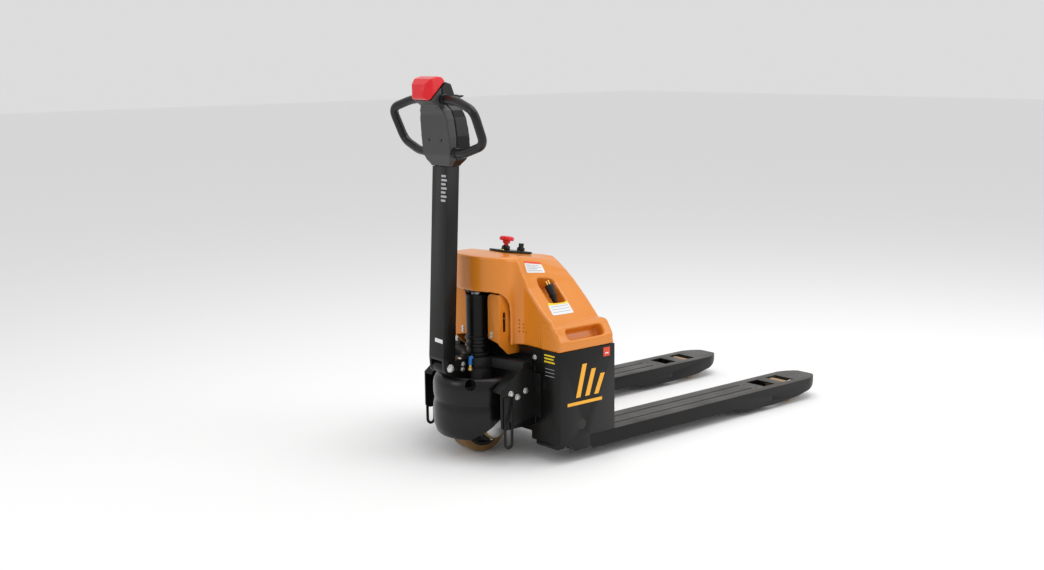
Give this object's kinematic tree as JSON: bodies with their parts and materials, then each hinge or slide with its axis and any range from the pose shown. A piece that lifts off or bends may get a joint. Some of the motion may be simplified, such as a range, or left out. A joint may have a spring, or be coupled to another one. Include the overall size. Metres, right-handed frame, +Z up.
{
  "type": "electric pallet truck",
  "caption": "Compact walk-behind electric pallet truck: two forks with lifting load rollers, battery box under a hood, steered drive wheel and upright tiller.",
  "frame": {"origin": "middle of the footprint on the floor", "axes": "+X from the operator to the fork tips, +Y to the truck's left, +Z up"},
  "size_m": [1.71, 0.685, 1.292],
  "materials": {
    "aluminium": "bare aluminium",
    "battery_case": "dark grey battery case",
    "black_paint": "satin black paint",
    "black_plastic": "satin black moulding",
    "black_rubber": "black moulded rubber",
    "blue_hose": "blue hose sleeve",
    "brass": "plain brass",
    "cast_iron": "black cast iron",
    "grey_plastic": "semi-matte dark grey moulding",
    "orange_paint": "gloss orange paint",
    "orange_plastic": "gloss orange moulding",
    "polyurethane": "brown-gold polyurethane tread",
    "red_plastic": "gloss red moulding",
    "steel": "ground steel",
    "tan_polyurethane": "tan polyurethane roller"
  },
  "bodies": {
    "yoke": {"yoke": "cast_iron"},
    "drive_unit": {"drive_frame": "cast_iron", "tiller_bracket": "black_paint", "cylinder_barrel": "black_paint", "cylinder_gland": "black_paint", "drive_motor_housing": "cast_iron", "drive_motor_cap": "aluminium", "drive_axle": "steel", "wheel_shroud": "black_plastic", "hydraulic_hose": "blue_hose", "hose_fitting": "brass"},
    "drive_wheel": {"drive_wheel_hub": "cast_iron", "drive_wheel_tread": "polyurethane"},
    "tiller": {"tiller_arm": "black_paint", "tiller_pivot_bolt": "steel", "head_lower_shell": "grey_plastic", "head_upper_shell": "black_plastic", "handle_loop_left": "black_rubber", "handle_loop_right": "black_rubber"},
    "belly_button": {"belly_button": "red_plastic"},
    "throttle": {"throttle_lever": "black_plastic"},
    "raise_button": {"raise_button": "grey_plastic"},
    "lower_button": {"lower_button": "grey_plastic"},
    "horn_button": {"horn_button": "red_plastic"},
    "chassis": {"chassis_box": "black_paint", "fork_left": "black_paint", "fork_right": "black_paint", "carrier_pin_left": "steel", "carrier_pin_right": "steel", "side_bracket_left": "black_paint", "side_bracket_right": "black_paint", "guard_loop_left": "black_paint", "guard_loop_right": "black_paint", "mast_post_left": "orange_paint", "mast_post_right": "orange_paint", "crosshead": "cast_iron", "piston_rod": "steel", "hood": "orange_plastic", "charger_plug": "black_rubber", "control_panel": "black_plastic", "e_stop_base": "black_plastic", "key_switch": "black_plastic", "battery_left": "battery_case", "battery_right": "battery_case", "pump_motor": "black_paint", "motor_controller": "aluminium"},
    "e_stop": {"e_stop_button": "red_plastic"},
    "key": {"key": "black_plastic"},
    "rocker": {"rocker_shaft": "steel", "rocker_arm_left": "black_paint", "rocker_arm_right": "black_paint"},
    "push_rod_left": {"push_rod_left": "steel"},
    "push_rod_right": {"push_rod_right": "steel"},
    "carrier_left": {"load_carrier_left": "black_paint", "load_axle_left": "steel"},
    "carrier_right": {"load_carrier_right": "black_paint", "load_axle_right": "steel"},
    "load_roller_left": {"load_roller_left": "tan_polyurethane"},
    "load_roller_right": {"load_roller_right": "tan_polyurethane"}
  },
  "joints": [
    {"name": "steer", "type": "hinge", "parent": "yoke", "child": "drive_unit", "pos_m": [-0.62, 0, 0.32], "axis": [0, 0, 1], "range_deg": [-50, 50]},
    {"name": "lift", "type": "slide", "parent": "yoke", "child": "chassis", "axis": [0, 0, 1], "range_m": [0, 0.115]},
    {"name": "drive_wheel_turn", "type": "hinge", "parent": "drive_unit", "child": "drive_wheel", "pos_m": [-0.62, 0, 0.105], "axis": [0, 1, 0], "continuous": true},
    {"name": "tiller_lower", "type": "hinge", "parent": "drive_unit", "child": "tiller", "pos_m": [-0.775, 0, 0.32], "axis": [0, -1, 0], "range_deg": [0, 75], "stiffness_Nm_per_rad": 48, "springref_deg": -6.88},
    {"name": "belly_press", "type": "slide", "parent": "tiller", "child": "belly_button", "axis": [0.7071, 0, -0.7071], "range_m": [0, 0.003], "stiffness_N_per_m": 1500, "springref_m": -0.002},
    {"name": "throttle_turn", "type": "hinge", "parent": "tiller", "child": "throttle", "pos_m": [-0.722, 0, 1.2222], "axis": [0, 1, 0], "range_deg": [-30, 30], "stiffness_Nm_per_rad": 0.6},
    {"name": "raise_press", "type": "slide", "parent": "tiller", "child": "raise_button", "axis": [-0.9925, 0, -0.1219], "range_m": [0, 0.0025], "stiffness_N_per_m": 600, "springref_m": -0.001},
    {"name": "lower_press", "type": "slide", "parent": "tiller", "child": "lower_button", "axis": [-0.9925, 0, -0.1219], "range_m": [0, 0.0025], "stiffness_N_per_m": 600, "springref_m": -0.001},
    {"name": "horn_press", "type": "slide", "parent": "tiller", "child": "horn_button", "axis": [-0.9925, 0, -0.1219], "range_m": [0, 0.0025], "stiffness_N_per_m": 600, "springref_m": -0.001},
    {"name": "e_stop_press", "type": "slide", "parent": "chassis", "child": "e_stop", "axis": [-0.1503, 0, -0.9886], "range_m": [0, 0.006]},
    {"name": "key_turn", "type": "hinge", "parent": "chassis", "child": "key", "pos_m": [-0.42131, 0, 0.67929], "axis": [-0.1503, 0, -0.9886], "range_deg": [0, 90]},
    {"name": "rocker_turn", "type": "hinge", "parent": "chassis", "child": "rocker", "pos_m": [-0.447, 0, 0.128], "axis": [0, -1, 0], "range_deg": [0, 39.91]},
    {"name": "push_left", "type": "slide", "parent": "chassis", "child": "push_rod_left", "axis": [1, 0, 0], "range_m": [0, 0.02416]},
    {"name": "carrier_left_turn", "type": "hinge", "parent": "chassis", "child": "carrier_left", "pos_m": [0.542, 0.2625, 0.044], "axis": [0, 1, 0], "range_deg": [0, 53.58]},
    {"name": "load_roller_left_turn", "type": "hinge", "parent": "carrier_left", "child": "load_roller_left", "pos_m": [0.687, 0.2625, 0.04], "axis": [0, 1, 0], "continuous": true},
    {"name": "push_right", "type": "slide", "parent": "chassis", "child": "push_rod_right", "axis": [1, 0, 0], "range_m": [0, 0.02416]},
    {"name": "carrier_right_turn", "type": "hinge", "parent": "chassis", "child": "carrier_right", "pos_m": [0.542, -0.2625, 0.044], "axis": [0, 1, 0], "range_deg": [0, 53.58]},
    {"name": "load_roller_right_turn", "type": "hinge", "parent": "carrier_right", "child": "load_roller_right", "pos_m": [0.687, -0.2625, 0.04], "axis": [0, 1, 0], "continuous": true}
  ],
  "couplings": [
    {"joint": "rocker_turn", "follows": "lift", "rad_per_m": 6.0564},
    {"joint": "push_left", "follows": "lift", "ratio": 0.21005},
    {"joint": "carrier_left_turn", "follows": "lift", "rad_per_m": 8.1307},
    {"joint": "push_right", "follows": "lift", "ratio": 0.21005},
    {"joint": "carrier_right_turn", "follows": "lift", "rad_per_m": 8.1307}
  ]
}
